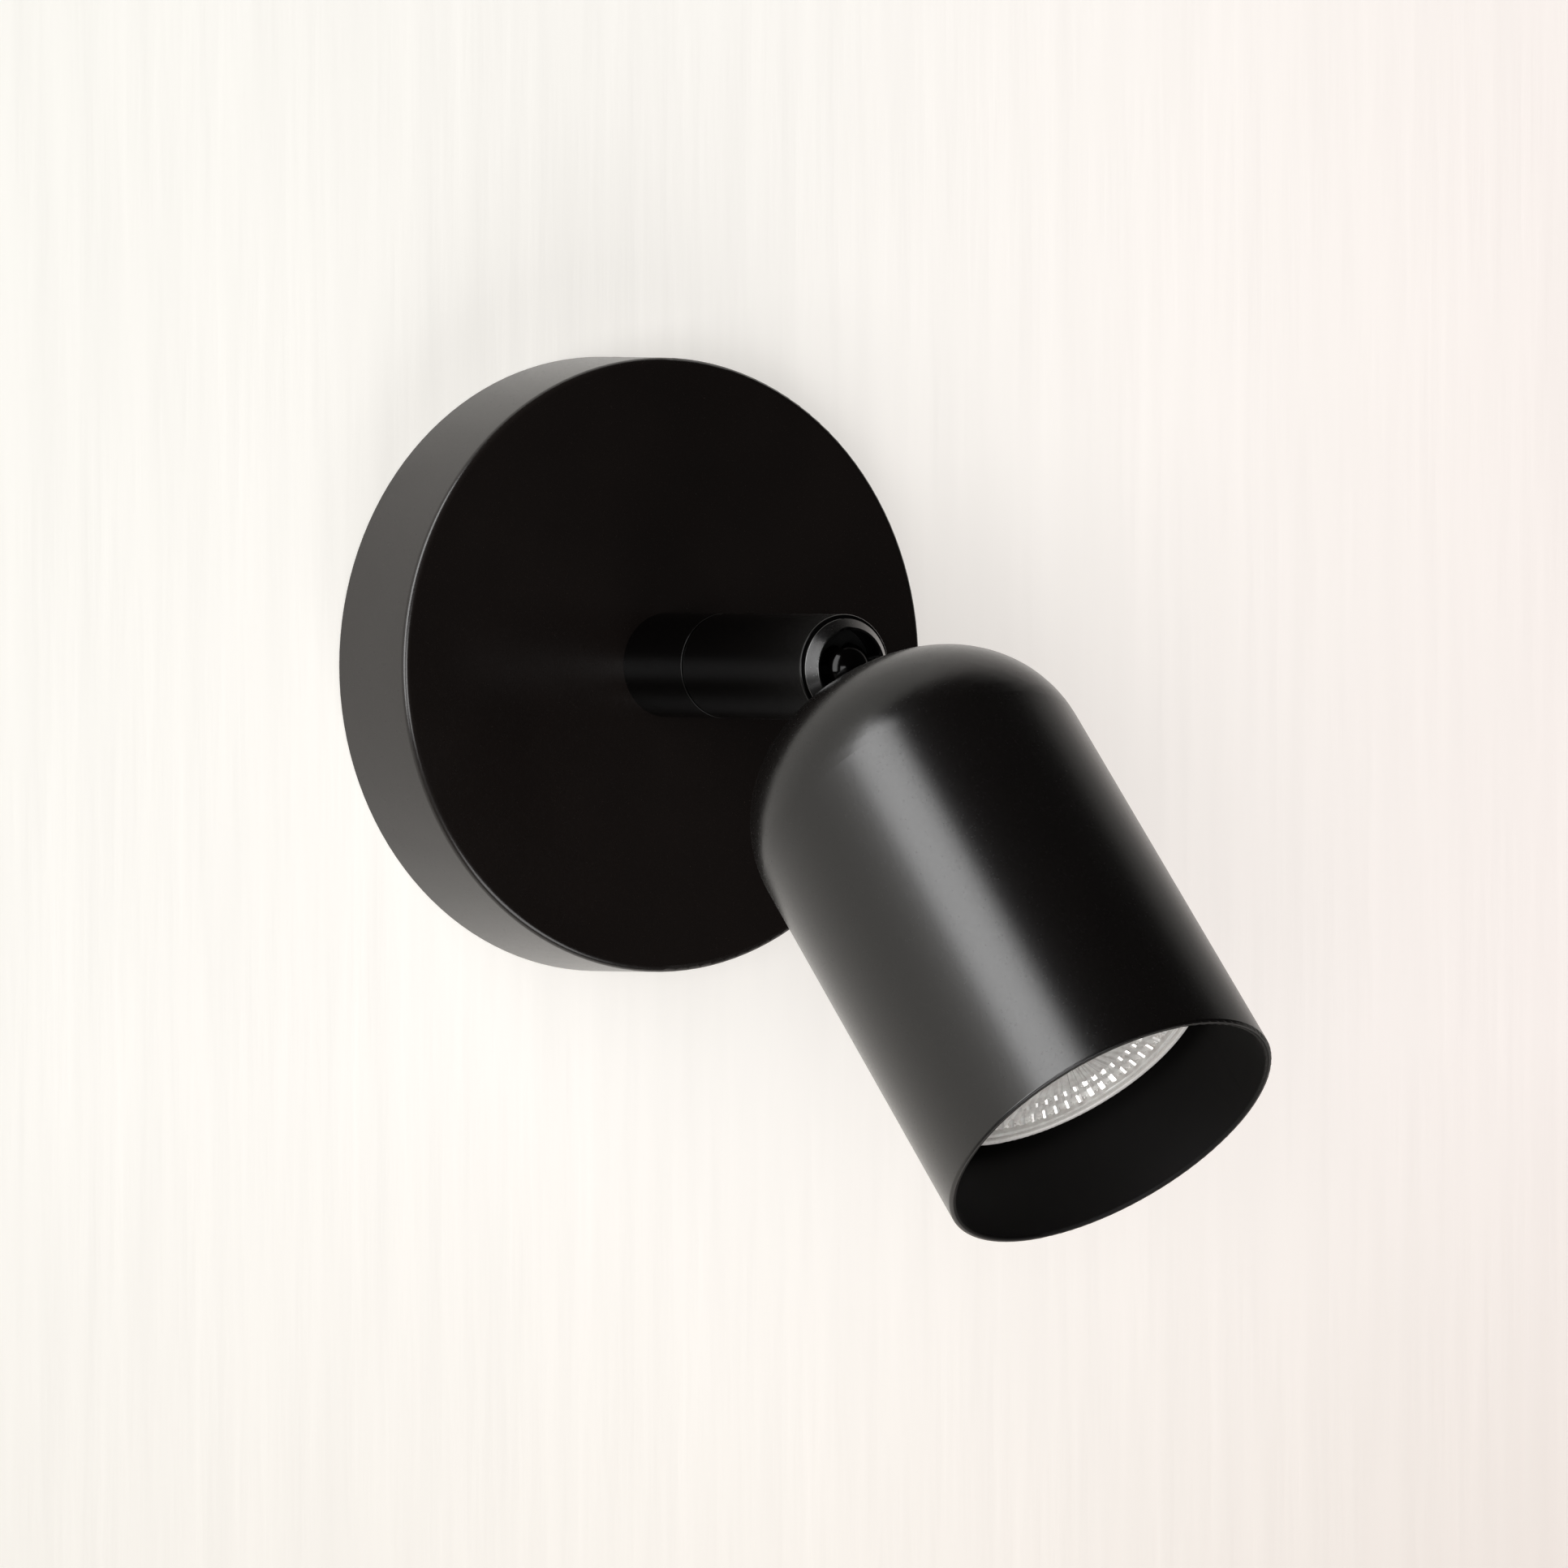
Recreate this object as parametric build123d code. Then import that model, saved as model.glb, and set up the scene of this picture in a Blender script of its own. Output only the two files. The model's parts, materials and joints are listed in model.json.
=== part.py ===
from build123d import *
import os
from math import asin, cos, degrees, radians, sin, sqrt, tan

# Pivoting spotlight wall light. Millimetres, +Z up. The wall is the plane Y = 0, the light stands
# out of it towards -Y, and the origin is the centre of the canopy's back.
#
# Local frames: "wall" has z away from the wall and y up; "arm" is wall turned about the arm;
# "head" has its origin at the tilt pivot and z along the shade; "lamp" starts at the lamp's base.

# ---- attitude at rest -------------------------------------------------------------------------
arm_roll = 7.8          # turn of the arm from straight down, degrees
head_tilt = 50.4        # angle between arm and shade, degrees
tilt_limit = 52.4       # largest angle between arm and shade, either way
swivel_limit = 165.0    # turn of the arm to its stop, either way
lamp_twist = 40.0       # turn that frees the lamp's pins

# ---- clearances -------------------------------------------------------------------------------
thread_play = 0.03      # screwed or pressed pieces, on the radius
running_play = 0.05     # turning pieces, on the radius
hole_play = 0.15        # screws and tubes in plain holes, on the radius
paint_gap = 0.2         # sunk ends of pins and screws below the painted surface

# ---- canopy and wall bracket ------------------------------------------------------------------
canopy_back_radius = 51.8
canopy_draft = 0.5          # front radius less than the back's
canopy_depth = 20.0
canopy_wall = 1.2
canopy_edge_round = 1.1
canopy_screw_height = 7.0
canopy_screw_radius = 2.0
canopy_screw_length = 5.0
bracket_width = 26.0
bracket_thickness = 1.5
bracket_tab_width = 12.0
bracket_tab_height = 11.0
bracket_tab_gap = 0.4
wall_slot_spacing = 70.0
wall_slot_length = 12.0
wall_slot_radius = 2.3
cable_hole_radius = 6.0

# ---- mains connector and earth terminal -------------------------------------------------------
block_near_edge = 9.5
block_length = 14.0
block_height = 11.0
block_web_height = 3.5
block_pole_pitch = 8.0
block_tower_width = 6.4
block_lug_length = 5.4
block_lug_half_width = 3.2
block_lug_height = 2.5
block_bore_height = 5.5
sleeve_radius = 2.2
sleeve_bore_radius = 1.6
sleeve_setback = 1.0
pole_screw_radius = 1.3
pole_screw_inset = 3.5
pole_screw_sink = 1.0
driver_slot_width = 0.6
driver_slot_depth = 0.8
small_screw_radius = 1.5
small_head_radius = 2.6
small_head_height = 1.9
earth_screw_x = 8.5
earth_screw_y = -14.0
earth_screw_radius = 2.0
earth_head_radius = 3.6
earth_head_height = 2.2
tag_thickness = 0.6
tag_ring_width = 1.5
tag_ear_width = 3.0
tag_ear_length = 8.0

# ---- nipple, foot and swivel ------------------------------------------------------------------
nipple_radius = 5.0
nipple_bore_radius = 3.5
nipple_tail = 1.5
nipple_engagement = 7.3
nut_across_flats = 14.0
nut_height = 4.0
nipple_washer_radius = 8.0
nipple_washer_thickness = 0.8
tooth_gap = 0.3             # toothed washers
tooth_share = 0.2           # of the washer's width
bush_flange = 1.0
bush_sleeve = 3.5
bush_bore_radius = 2.2
arm_radius = 8.7
foot_length = 17.65
foot_edge_round = 0.15
seam_gap = 0.5
core_thread_radius = 6.0
core_thread_length = 8.5
core_bore_radius = 3.2
core_floor_gap = 0.7
spigot_radius = 5.5
spigot_overhang = 1.3
seam_washer_setback = 0.35
swivel_web = 4.85
spring_washer_thickness = 0.8
spring_washer_radius = 6.4
clip_thickness = 0.9
clip_groove_depth = 0.6
clip_radius = 6.4
clip_opening = 50.0
stop_pin_circle = 7.2
stop_pin_radius = 0.7
stop_pin_depth = 4.0
stop_pin_reach = 1.2
stop_groove_play = 0.25
stop_groove_spare = 0.5

# ---- arm tube and tilt joint ------------------------------------------------------------------
arm_mouth_height = 75.2     # front of the nose, from the wall
arm_bore_radius = 6.8
arm_end_round = 0.4
nose_height = 2.0           # nose beyond the end of the tube
nose_base_radius = 8.35
nose_front_radius = 6.5
nose_round = 0.25
mouth_radius = 6.2
mouth_lip = 0.6
mouth_notch_play = 0.25     # round the neck at its stops
mouth_notch_margin = 1.0    # degrees beyond the stops
cup_radius = 7.6
cup_length = 7.2            # cup inside the end of the tube
cup_floor_gap = 0.3
pivot_setback = 2.3         # pivot behind the front of the nose
ball_radius = 4.2
trunnion_radius = 1.5
trunnion_gap = 0.25
pivot_pin_radius = 0.75
pivot_pin_inner_end = 2.3
slot_half_width = 1.5
neck_radius = 2.1
collar_radius = 3.0
collar_height = 0.6
shank_thread_radius = 2.5
shank_bore_radius = 1.45
shoe_bore_radius = 2.4
shoe_contact_angle = 51.0
disc_spring_count = 6
disc_spring_thickness = 0.6
disc_spring_cone = 0.45
disc_spring_outer_radius = 6.3
disc_spring_inner_radius = 3.2
disc_spring_gap = 0.02
spring_seat_thickness = 3.0
spring_seat_bore_radius = 3.6
spring_seat_gap = 3.0       # seat above the end of the swivel core

# ---- shade ------------------------------------------------------------------------------------
shade_radius = 28.6
shade_wall = 1.2
shade_shoulder_radius = 21.0
shade_top = 7.7             # outside of the dome, from the pivot
shade_rim_round = 0.4
shade_overhang = 16.6       # rim beyond the lamp's face

# ---- what clamps the head together ------------------------------------------------------------
shade_washer_radius = 7.0
shade_washer_thickness = 0.8
strap_thickness = 1.0
strap_width = 11.0
strap_leg_inside = 7.0
shank_tag_thickness = 0.5
shank_washer_radius = 4.6
shank_washer_thickness = 0.6
shank_nut_across_flats = 8.0
shank_nut_height = 2.7
shank_end = 0.4

# ---- lampholder -------------------------------------------------------------------------------
holder_radius = 14.5
holder_height = 10.0
holder_back_height = 2.5
holder_screw_offset = 11.0
holder_screw_recess = 3.0
holder_counterbore_radius = 2.8
holder_front_plate = 4.2
holder_contact_height = 2.7
holder_lead_hole_radius = 2.0
holder_rear_round = 0.5
holder_front_round = 0.8
holder_contact_play = 0.3
neck_slot_play = 0.25
head_slot_play = 0.3
small_nut_across_flats = 5.5
small_nut_height = 2.4
small_screw_end = 0.5

# ---- lamp -------------------------------------------------------------------------------------
lamp_length = 46.3          # without its pins
lamp_seat_gap = 0.2
lampholder_gap = 5.2        # holder's back beyond the end of the shank, room for the leads
lamp_radius = 25.0
lamp_pin_pitch = 10.0
lamp_pin_length = 7.2
lamp_pin_neck_radius = 1.6
lamp_pin_head_radius = 2.5
lamp_pin_head_height = 2.6
lamp_base_radius = 13.0
lamp_base_flare = 1.0
lamp_base_height = 13.0
lamp_base_wall = 1.8
lamp_base_floor = 2.5
lamp_neck_radius = 15.0
lamp_bezel_height = 5.3     # also the body's top edge below the lamp's face
lamp_body_wall = 1.5
lamp_body_inset = 0.7       # body inside the bezel's outer radius
lamp_shelf_depth = 8.0      # shelf for the board, below the body's top edge
lamp_shelf_width = 3.5
board_thickness = 1.6
board_edge_gap = 0.3
led_size = 3.5
led_height = 1.0
led_ring_radius = 11.0
led_ring_count = 6
lens_front_setback = 0.5
lens_plate = 3.8
lens_cone_gap = 0.4
lens_cone_base_radius = 3.0
lens_cone_top_radius = 5.2
bezel_width = 1.2
bezel_round = 0.5
driver_half_width = 9.5
driver_top_gap = 5.0        # room over the board, below the shelf
driver_can_radius = 4.0
driver_can_height = 9.0
driver_part_rise = 4.0      # the parts' lower ends above the board's
driver_choke_half_width = 4.0
driver_choke_depth = 5.0

# ---- leads ------------------------------------------------------------------------------------
lead_radius = 0.6
lead_bend_share = 0.45      # of the shorter run, for the bend at its end
lead_strip = 5.0            # reach of a lead into the connector's sleeve
lead_turn = 2.3             # straight run out of the connector, from its near edge
head_lead_bend = 3.4
head_earth_bend = 3.0
lead_bundle_play = 0.04
lead_joint_gap = 0.1        # half of the gap between leads at the swivel
lead_pivot_gap = 0.8        # end of the leads from the pivot, either side

# ---- heights that follow ----------------------------------------------------------------------
face_inside = canopy_depth - canopy_wall
nipple_nut_top = face_inside - nipple_washer_thickness
nipple_nut_low = nipple_nut_top - nut_height
nipple_low = nipple_nut_low - nipple_tail
nipple_high = canopy_depth + nipple_engagement
core_low = nipple_high + core_floor_gap
core_step = core_low + core_thread_length
foot_high = canopy_depth + foot_length
arm_low = foot_high + seam_gap
web_high = arm_low + swivel_web
clip_low = web_high + spring_washer_thickness
core_high = clip_low + clip_thickness + spigot_overhang
pivot_height = arm_mouth_height - pivot_setback
tube_end = arm_mouth_height - nose_height
cup_low = tube_end - cup_length
shoe_front = pivot_height - (ball_radius + running_play) * cos(radians(shoe_contact_angle))
disc_step = disc_spring_thickness + disc_spring_cone + disc_spring_gap
seat_low = core_high + spring_seat_gap
seat_high = seat_low + spring_seat_thickness
shoe_rear = seat_high + disc_spring_gap + disc_spring_count * disc_step
trunnion_end = sqrt(arm_bore_radius ** 2 - trunnion_radius ** 2) - trunnion_gap
dome_inside = shade_top + shade_wall
strap_low = dome_inside + shade_washer_thickness
strap_high = strap_low + strap_thickness
shank_tag_high = strap_high + shank_tag_thickness
shank_washer_high = shank_tag_high + shank_washer_thickness
shank_nut_high = shank_washer_high + shank_nut_height
shank_high = shank_nut_high + shank_end
holder_back_low = shank_high + lampholder_gap
holder_low = holder_back_low + holder_back_height
holder_high = holder_low + holder_height
lamp_low = holder_high + lamp_seat_gap
lamp_face = lamp_low + lamp_length
shade_rim = lamp_face + shade_overhang
contact_high = holder_low + holder_contact_height
lamp_body_top = lamp_length - lamp_bezel_height
lamp_shelf_height = lamp_body_top - lamp_shelf_depth
driver_top = lamp_shelf_height - lamp_body_wall - driver_top_gap
lead_circle = 2 * (lead_radius + lead_bundle_play) / sqrt(3)
lead_split = core_high + spigot_overhang / 2
block_bore_z = bracket_thickness + block_bore_height
canopy_front_radius = canopy_back_radius - canopy_draft
canopy_taper = canopy_draft / canopy_depth
canopy_narrow = canopy_back_radius - max(0, canopy_taper * bracket_tab_height)
bracket_reach = canopy_narrow - canopy_wall - bracket_tab_gap
tab_outside = sqrt(bracket_reach ** 2 - (bracket_tab_width / 2) ** 2)
tag_high = bracket_thickness + tag_thickness

# ---- frames -----------------------------------------------------------------------------------
wall = Rot(90, 0, 0)
arm = wall * Rot(0, 0, arm_roll)
head = arm * Pos(0, 0, pivot_height) * Rot(head_tilt, 0, 0)
lamp = head * Pos(0, 0, lamp_low)


# ---- helpers ----------------------------------------------------------------------------------
def turned(corners, rounds=None):
    """Solid turned about z from (radius, height) corners; rounds gives some corners a radius."""
    if rounds:
        radii = [rounds.get(i, 0) for i in range(len(corners))]
        outline = FilletPolyline(corners, radius=radii, close=True)
    else:
        outline = Polyline(corners, close=True)
    return revolve(Plane.XZ * make_face(outline), Axis.Z)


def ring(outer, inner, low, high):
    """Flat ring about z."""
    return Pos(0, 0, low) * extrude(Circle(outer) - Circle(inner), high - low)


def rod(radius, low, high):
    """Plain cylinder along z."""
    return Pos(0, 0, low) * extrude(Circle(radius), high - low)


def block_between(x0, x1, y0, y1, z0, z1):
    """Box from its low to its high corner."""
    middle = Pos((x0 + x1) / 2, (y0 + y1) / 2, (z0 + z1) / 2)
    return middle * Box(x1 - x0, y1 - y0, z1 - z0)


def hex_nut(across_flats, bore, low, high):
    """Six-sided nut about z."""
    outline = RegularPolygon(across_flats / 2, 6, major_radius=False)
    return Pos(0, 0, low) * extrude(outline - Circle(bore), high - low)


def screw(radius, head_radius, tip, seat, head_high):
    """Pan-head screw along z, with a cross recess."""
    recess_depth = 0.6 * (head_high - seat)
    recess = 1.2 * head_radius
    cross = Rectangle(recess, recess / 4) + Rectangle(recess / 4, recess)
    body = rod(radius, tip, seat) + rod(head_radius, seat, head_high)
    return body - Pos(0, 0, head_high - recess_depth) * extrude(cross, recess_depth)


def lead(points, largest=50.0):
    """Insulated lead along straight runs joined by arcs as large as the runs, or the room, allow."""
    corners = [Vector(*p) for p in points]
    if len(corners) == 2:
        path = Line(corners[0], corners[1])
    else:
        radii = []
        for before, at, after in zip(corners, corners[1:], corners[2:]):
            first, second = at - before, after - at
            turn = radians(first.get_angle(second))
            room = lead_bend_share * min(first.length, second.length) / tan(turn / 2)
            radii.append(min(largest, room))
        print("lead radii", [round(r, 1) for r in radii])
        path = FilletPolyline(corners, radius=radii)
    solid = sweep(Plane(origin=path @ 0, z_dir=path % 0) * Circle(lead_radius), path=path)
    section = Circle(lead_radius).area
    print("lead volume over section times length", round(solid.volume / (section * path.length), 4))
    return solid


def bundle(index):
    """Place of one of the three leads in the bore."""
    angle = radians((90, 210, 330)[index])
    return lead_circle * cos(angle), lead_circle * sin(angle)


# ---- pieces on the wall -----------------------------------------------------------------------
def canopy():
    back, front, thick = canopy_back_radius, canopy_front_radius, canopy_wall
    corners = [
        (nipple_radius + hole_play, canopy_depth), (front, canopy_depth), (back, 0),
        (back - thick, 0), (front - thick, face_inside), (nipple_radius + hole_play, face_inside),
    ]
    cup = turned(corners, {1: canopy_edge_round, 4: canopy_edge_round / 2})
    for side in (-1, 1):
        hole = rod(canopy_screw_radius + hole_play, tab_outside, max(back, front) + thick)
        cup -= Pos(0, 0, canopy_screw_height) * Rot(-90 * side, 0, 0) * hole
    return cup


def wall_bracket():
    half, thick, tab = tab_outside, bracket_thickness, bracket_tab_width / 2
    plate = block_between(-bracket_width / 2, bracket_width / 2, -half, half, 0, thick)
    plate &= rod(bracket_reach, 0, thick)
    plate -= rod(cable_hole_radius, -1, thick + 1)
    for side in (-1, 1):
        low, high = sorted((side * half, side * (half - thick)))
        plate += block_between(-tab, tab, low, high, 0, bracket_tab_height)
        thread = rod(canopy_screw_radius + thread_play, half - 2 * thick, half + 1)
        plate -= Pos(0, 0, canopy_screw_height) * Rot(-90 * side, 0, 0) * thread
        slot = extrude(SlotOverall(wall_slot_length, 2 * wall_slot_radius, rotation=90), thick)
        plate -= Pos(0, side * wall_slot_spacing / 2, 0) * slot
    plate -= Pos(earth_screw_x, earth_screw_y, 0) * rod(earth_screw_radius + thread_play, -1, thick + 1)
    plate -= Pos(0, block_screw_y(), 0) * rod(small_screw_radius + thread_play, -1, thick + 1)
    return plate


def canopy_screws():
    """Set screws with a hexagon socket, their ends just below the rim."""
    outer = canopy_back_radius - canopy_taper * canopy_screw_height - paint_gap
    socket = RegularPolygon(0.5 * canopy_screw_radius, 6)
    pin = rod(canopy_screw_radius, outer - canopy_screw_length, outer)
    pin -= Pos(0, 0, outer - 0.4 * canopy_screw_length) * extrude(socket, canopy_screw_length)
    return [Pos(0, 0, canopy_screw_height) * Rot(-90 * side, 0, 0) * pin for side in (-1, 1)]


def block_screw_y():
    return block_near_edge + block_length + block_lug_length / 2


def block_poles():
    return [pole * block_pole_pitch for pole in (-1, 0, 1)]


def pole_screw_places():
    near = block_near_edge + pole_screw_inset
    far = block_near_edge + block_length - pole_screw_inset
    return [(x, y) for x in block_poles() for y in (near, far)]


def terminal_block():
    low, near, far = bracket_thickness, block_near_edge, block_near_edge + block_length
    half = block_pole_pitch + block_tower_width / 2
    body = block_between(-half, half, near, far, low, low + block_web_height)
    lug = block_lug_half_width
    body += block_between(-lug, lug, far, far + block_lug_length, low, low + block_lug_height)
    for x in block_poles():
        side = block_tower_width / 2
        body += block_between(x - side, x + side, near, far, low, low + block_height)
    for x in block_poles():
        bore = rod(sleeve_radius + thread_play, near - 1, far + 1)
        body -= Pos(x, 0, block_bore_z) * Rot(-90, 0, 0) * bore
    for x, y in pole_screw_places():
        body -= Pos(x, y, 0) * rod(pole_screw_radius + 2 * hole_play, block_bore_z, low + block_height + 1)
    return body - Pos(0, block_screw_y(), 0) * rod(small_screw_radius + hole_play, 0, low + block_height)


def terminal_sleeves():
    low, high = block_near_edge + sleeve_setback, block_near_edge + block_length - sleeve_setback
    tube = ring(sleeve_radius, sleeve_bore_radius, low, high)
    sleeves = []
    for pole in block_poles():
        sleeve = Pos(pole, 0, block_bore_z) * Rot(-90, 0, 0) * tube
        for x, y in pole_screw_places():
            if x == pole:
                hole = rod(pole_screw_radius + thread_play, block_bore_z, block_bore_z + 2 * sleeve_radius)
                sleeve -= Pos(x, y, 0) * hole
        sleeves.append(sleeve)
    return sleeves


def terminal_screws():
    top = bracket_thickness + block_height - pole_screw_sink
    tip = block_bore_z + lead_radius + running_play
    half, wide = driver_slot_width / 2, 2 * pole_screw_radius
    slot = block_between(-wide, wide, -half, half, top - driver_slot_depth, top)
    pin = rod(pole_screw_radius, tip, top) - slot
    return [Pos(x, y, 0) * pin for x, y in pole_screw_places()]


def terminal_block_screw():
    seat = bracket_thickness + block_lug_height
    pin = screw(small_screw_radius, small_head_radius, paint_gap, seat, seat + small_head_height)
    return Pos(0, block_screw_y(), 0) * pin


def ring_tag(hole, low, thick, ear_length):
    """Ring terminal with an ear along +y."""
    outer = hole + tag_ring_width
    outline = Circle(outer) + Pos(0, ear_length / 2) * Rectangle(tag_ear_width, ear_length)
    return Pos(0, 0, low) * extrude(outline - Circle(hole), thick)


def earth_tag():
    tag = ring_tag(earth_screw_radius + hole_play, bracket_thickness, tag_thickness, tag_ear_length)
    return Pos(earth_screw_x, earth_screw_y, 0) * tag


def earth_screw():
    pin = screw(earth_screw_radius, earth_head_radius, paint_gap, tag_high, tag_high + earth_head_height)
    return Pos(earth_screw_x, earth_screw_y, 0) * pin


def arm_nipple():
    return ring(nipple_radius, nipple_bore_radius, nipple_low, nipple_high)


def nipple_nut():
    return hex_nut(nut_across_flats, nipple_radius + thread_play, nipple_nut_low, nipple_nut_top)


def toothed_washer(outer, inner, low, high, teeth):
    """Flat washer with notches round its edge."""
    washer = ring(outer, inner, low, high)
    for i in range(teeth):
        root = outer - tooth_share * (outer - inner)
        notch = block_between(root, 2 * outer, -tooth_gap / 2, tooth_gap / 2, low, high)
        washer -= Rot(0, 0, 360 * i / teeth) * notch
    return washer


def nipple_washer():
    inner = nipple_radius + hole_play
    return toothed_washer(nipple_washer_radius, inner, nipple_nut_top, face_inside, 16)


def cable_bush():
    low = nipple_low - bush_flange
    flange = ring(nipple_radius, bush_bore_radius, low, nipple_low)
    sleeve = nipple_bore_radius - thread_play
    return flange + ring(sleeve, bush_bore_radius, nipple_low, nipple_low + bush_sleeve)


def arm_foot():
    inner, socket = nipple_radius + thread_play, core_thread_radius + thread_play
    corners = [
        (inner, canopy_depth), (arm_radius, canopy_depth), (arm_radius, foot_high),
        (socket, foot_high), (socket, nipple_high), (inner, nipple_high),
    ]
    body = turned(corners, {2: foot_edge_round})
    hole = rod(stop_pin_radius + thread_play, foot_high - stop_pin_depth, foot_high + 1)
    return body - Pos(0, stop_pin_circle, 0) * hole


def swivel_core():
    groove = spigot_radius - clip_groove_depth
    corners = [
        (core_bore_radius, core_low), (core_thread_radius, core_low), (core_thread_radius, core_step),
        (spigot_radius, core_step), (spigot_radius, clip_low), (groove, clip_low),
        (groove, clip_low + clip_thickness + running_play),
        (spigot_radius, clip_low + clip_thickness + running_play),
        (spigot_radius, core_high), (core_bore_radius, core_high),
    ]
    return turned(corners)


def swivel_washer():
    inner = spigot_radius + 2 * running_play
    washer = ring(arm_radius - seam_washer_setback, inner, foot_high, arm_low)
    return washer - Pos(0, stop_pin_circle, 0) * rod(stop_pin_radius + running_play, foot_high, arm_low)


def swivel_stop_pin():
    pin = rod(stop_pin_radius, foot_high - stop_pin_depth, arm_low + stop_pin_reach)
    return Pos(0, stop_pin_circle, 0) * pin


def swivel_spring_washer():
    return ring(spring_washer_radius, spigot_radius + 2 * running_play, web_high, clip_low)


def swivel_clip():
    inner = spigot_radius - clip_groove_depth + running_play
    clip = ring(clip_radius, inner, clip_low, clip_low + clip_thickness)
    reach = 2 * clip_radius
    spread = reach * tan(radians(clip_opening / 2))
    wedge = make_face(Polyline((0, 0), (reach, -spread), (reach, spread), close=True))
    return clip - Pos(0, 0, clip_low) * extrude(wedge, clip_thickness)


def canopy_leads():
    """Three leads from the connector, through the nipple and the core."""
    start, turn = block_near_edge + lead_strip, block_near_edge - lead_turn
    height = block_bore_z
    earth, live, neutral = bundle(0), bundle(2), bundle(1)
    top = lead_split - lead_joint_gap
    pitch, pair = block_pole_pitch, lead_radius + running_play
    return [
        lead([(pitch, start, height), (pitch, turn, height), (*live, height + 0.6), (*live, top)]),
        lead([(-pitch, start, height), (-pitch, turn, height), (*neutral, height + 0.6), (*neutral, top)]),
        lead([(-pair, start, height), (-pair, turn, height), (*earth, height + 0.5), (*earth, top)]),
    ]


def earth_lead():
    """Short lead from the connector's earth pole, past the cable hole, to the earth tag."""
    start, height = block_near_edge + lead_strip, block_bore_z
    pair, lying = lead_radius + running_play, tag_high + lead_radius
    beside = cable_hole_radius + 0.5
    tag_end = earth_screw_y + 0.6 * tag_ear_length
    return lead([
        (pair, start, height), (pair, block_near_edge - 1.5, height),
        (beside, 4.0, lying + 1.2), (earth_screw_x, -2.5, lying), (earth_screw_x, tag_end, lying),
    ])


# ---- pieces of the turning arm ----------------------------------------------------------------
def arm_tube():
    web_bore, thread = spigot_radius + running_play, cup_radius + thread_play
    corners = [
        (web_bore, arm_low), (arm_radius, arm_low), (arm_radius, tube_end), (thread, tube_end),
        (thread, cup_low - cup_floor_gap), (arm_bore_radius, cup_low - cup_floor_gap),
        (arm_bore_radius, web_high), (web_bore, web_high),
    ]
    tube = turned(corners, {1: foot_edge_round, 2: arm_end_round})
    return tube - stop_groove()


def stop_groove():
    """Groove for the stop pin, all round but for the rib that the pin meets."""
    half_width = stop_pin_radius + stop_groove_play
    pin_angle = degrees(asin((stop_pin_radius + stop_groove_play) / stop_pin_circle))
    rib = radians(180 - swivel_limit - pin_angle)
    reach = 2 * arm_radius
    wedge = make_face(Polyline((0, 0), (reach * sin(rib), -reach * cos(rib)),
                               (-reach * sin(rib), -reach * cos(rib)), close=True))
    outline = Circle(stop_pin_circle + half_width) - Circle(stop_pin_circle - half_width) - wedge
    return Pos(0, 0, arm_low) * extrude(outline, stop_pin_reach + stop_groove_spare)


def joint_cup():
    """Cup screwed into the tube: it holds the knuckle's pins, and its nose is the arm's mouth."""
    lip_low, mouth = arm_mouth_height - mouth_lip, arm_mouth_height
    corners = [
        (arm_bore_radius, cup_low), (cup_radius, cup_low), (cup_radius, tube_end),
        (nose_base_radius, tube_end), (nose_front_radius, mouth), (mouth_radius, mouth),
        (mouth_radius, lip_low), (arm_bore_radius, lip_low),
    ]
    cup = turned(corners, {3: nose_round, 4: nose_round})
    pin_hole = rod(pivot_pin_radius + thread_play, -cup_radius, cup_radius)
    cup -= Pos(0, 0, pivot_height) * Rot(0, 90, 0) * pin_hole
    for side in (-1, 1):
        stop = Rot(side * (tilt_limit + mouth_notch_margin), 0, 0)
        notch = rod(neck_radius + mouth_notch_play, 0, 2 * arm_radius)
        cup -= Pos(0, 0, pivot_height) * stop * notch
    return cup


def spring_seat():
    return ring(arm_bore_radius - thread_play, spring_seat_bore_radius, seat_low, seat_high)


def disc_springs():
    """Coned discs, every second one turned over."""
    thick, cone = disc_spring_thickness, disc_spring_cone
    outer, inner = disc_spring_outer_radius, disc_spring_inner_radius
    discs = []
    for i in range(disc_spring_count):
        low = seat_high + disc_spring_gap + i * disc_step
        rise_in, rise_out = (cone, 0) if i % 2 else (0, cone)
        discs.append(turned([
            (inner, low + rise_in), (outer, low + rise_out),
            (outer, low + rise_out + thick), (inner, low + rise_in + thick),
        ]))
    return discs


def pressure_shoe():
    shoe = ring(arm_bore_radius - running_play, shoe_bore_radius, shoe_rear, shoe_front)
    return shoe - Pos(0, 0, pivot_height) * Sphere(ball_radius + running_play)


def pivot_pins():
    pin = rod(pivot_pin_radius, pivot_pin_inner_end, cup_radius - paint_gap)
    return [Pos(0, 0, pivot_height) * Rot(0, 90 * side, 0) * pin for side in (-1, 1)]


def arm_leads():
    low, high = lead_split + lead_joint_gap, pivot_height - lead_pivot_gap
    return [lead([(*bundle(i), low), (*bundle(i), high)]) for i in range(3)]


# ---- pieces of the tilting head ---------------------------------------------------------------
def tilt_knuckle():
    """Ball with two trunnions, a hollow shank, and a slot that the leads fan out through."""
    knuckle = Sphere(ball_radius) + Rot(0, 90, 0) * rod(trunnion_radius, -trunnion_end, trunnion_end)
    knuckle += rod(neck_radius, 0, shade_top) + rod(shank_thread_radius, shade_top, shank_high)
    knuckle += rod(collar_radius, shade_top - collar_height, shade_top)
    knuckle -= rod(shank_bore_radius, 0, shank_high)
    for side in (-1, 1):
        hole = rod(pivot_pin_radius + thread_play, pivot_pin_inner_end - running_play, arm_radius)
        knuckle -= Rot(0, 90 * side, 0) * hole
    return knuckle - lead_slot()


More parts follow.
